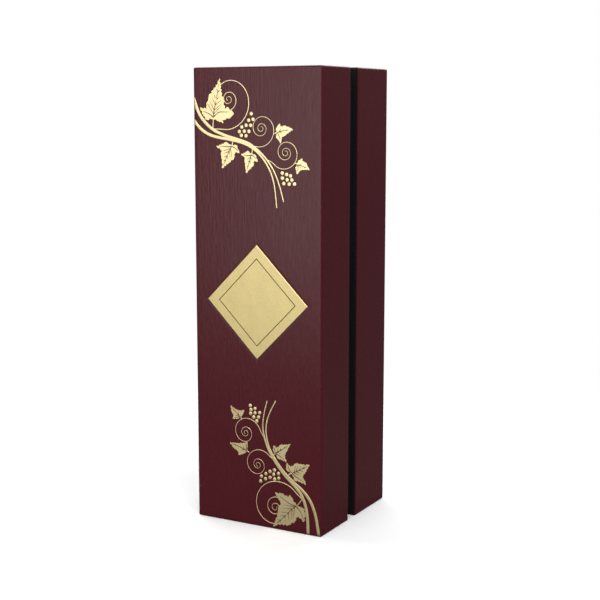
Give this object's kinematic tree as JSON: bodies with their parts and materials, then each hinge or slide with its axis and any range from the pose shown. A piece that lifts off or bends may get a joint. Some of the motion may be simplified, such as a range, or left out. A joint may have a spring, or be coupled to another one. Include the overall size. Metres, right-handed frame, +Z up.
{
  "type": "bottle gift box",
  "caption": "Upright rigid gift box for one bottle: a lift-off front lid over a black neck, a textured covering, a diamond plate and a moulded tray inside.",
  "frame": {"origin": "middle of the bottom of the closed box, label plate included", "axes": "+X to the right seen from the front, +Y from the lid towards the back, +Z up"},
  "size_m": [0.11, 0.1106, 0.35],
  "materials": {
    "covering": "satin",
    "greyboard": "matte",
    "lining_paper": "matte",
    "neck_black": "matte",
    "gold_plate": "satin",
    "gold_foil": "satin",
    "pad_foam": "matte",
    "flocked_tray": "matte"
  },
  "bodies": {
    "base": {"base_back_panel": "greyboard", "base_left_panel": "greyboard", "base_right_panel": "greyboard", "base_top_panel": "greyboard", "base_bottom_panel": "greyboard", "base_cover": "covering", "base_top_sheet": "covering", "base_bottom_sheet": "covering", "base_lining": "lining_paper", "neck_left": "neck_black", "neck_right": "neck_black", "neck_top": "neck_black", "neck_bottom": "neck_black", "bottle_tray": "flocked_tray"},
    "lid": {"lid_front_panel": "greyboard", "lid_left_panel": "greyboard", "lid_right_panel": "greyboard", "lid_top_panel": "greyboard", "lid_bottom_panel": "greyboard", "lid_cover": "covering", "lid_top_sheet": "covering", "lid_bottom_sheet": "covering", "lid_lining": "lining_paper", "label_plate": "gold_plate", "lid_pad": "pad_foam"}
  },
  "joints": [
    {"name": "lid_pull", "type": "slide", "parent": "base", "child": "lid", "axis": [0, -1, 0], "range_m": [0, 0.15]}
  ]
}
